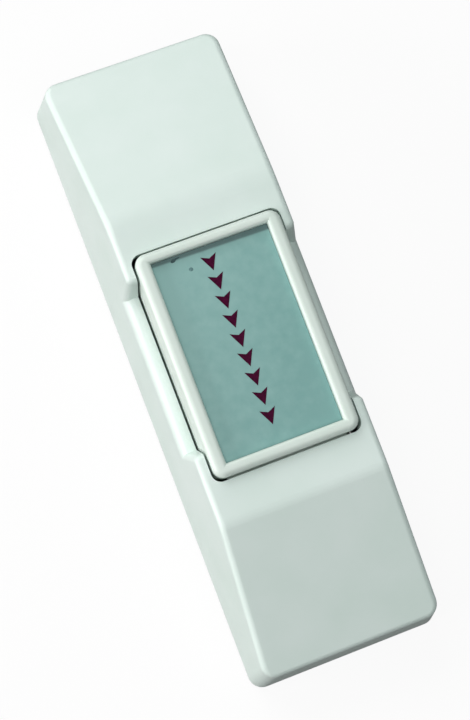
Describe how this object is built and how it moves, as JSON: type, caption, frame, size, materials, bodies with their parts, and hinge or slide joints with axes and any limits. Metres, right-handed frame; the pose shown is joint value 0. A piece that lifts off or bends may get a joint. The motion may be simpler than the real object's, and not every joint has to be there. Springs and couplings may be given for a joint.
{
  "type": "door exit button",
  "caption": "Narrow surface-mounted door exit button: a wall box with sloping ends and a long, spring-returned push button that works a leaf switch.",
  "frame": {"origin": "centre of the back face, which meets the wall", "axes": "+Z out of the wall, +Y towards the upper end, +X to the right as seen from the front"},
  "size_m": [0.0288, 0.091, 0.019],
  "materials": {
    "cover_plastic": "smooth moulded plastic, pale grey green white",
    "button_plastic": "smooth moulded plastic, pale grey green white",
    "label_plastic": "smooth blue green plate",
    "base_plastic": "plain moulded plastic, pale grey",
    "contact_brass": "stamped brass",
    "leaf_bronze": "rolled spring bronze",
    "contact_silver": "silver-faced contact",
    "screw_steel": "zinc plated",
    "spring_steel": "drawn spring wire"
  },
  "bodies": {
    "base": {"base_plate": "base_plastic", "front_cover": "cover_plastic", "common_terminal": "contact_brass", "open_terminal": "contact_brass", "closed_terminal": "contact_brass", "contact_leaf": "leaf_bronze", "leaf_rivet": "contact_brass", "open_contact": "contact_silver", "closed_contact": "contact_silver", "return_spring_left": "spring_steel", "return_spring_right": "spring_steel", "terminal_screw_common": "screw_steel", "terminal_clamp_common": "screw_steel", "terminal_nut_common": "screw_steel", "terminal_screw_open": "screw_steel", "terminal_clamp_open": "screw_steel", "terminal_nut_open": "screw_steel", "terminal_screw_closed": "screw_steel", "terminal_clamp_closed": "screw_steel", "terminal_nut_closed": "screw_steel"},
    "button": {"button_frame": "button_plastic", "label_plate": "label_plastic"},
    "contact": {"moving_contact": "contact_silver"}
  },
  "joints": [
    {"name": "button_press", "type": "slide", "parent": "base", "child": "button", "axis": [0, 0, -1], "range_m": [0, 0.0015], "stiffness_N_per_m": 1000, "springref_m": -0.003, "deforming": ["return_spring_left", "return_spring_right", "contact_leaf"]},
    {"name": "contact_travel", "type": "slide", "parent": "base", "child": "contact", "axis": [0, 0, -1], "range_m": [0, 0.00068]}
  ],
  "couplings": [
    {"joint": "contact_travel", "follows": "button_press", "ratio": 0.4474}
  ]
}
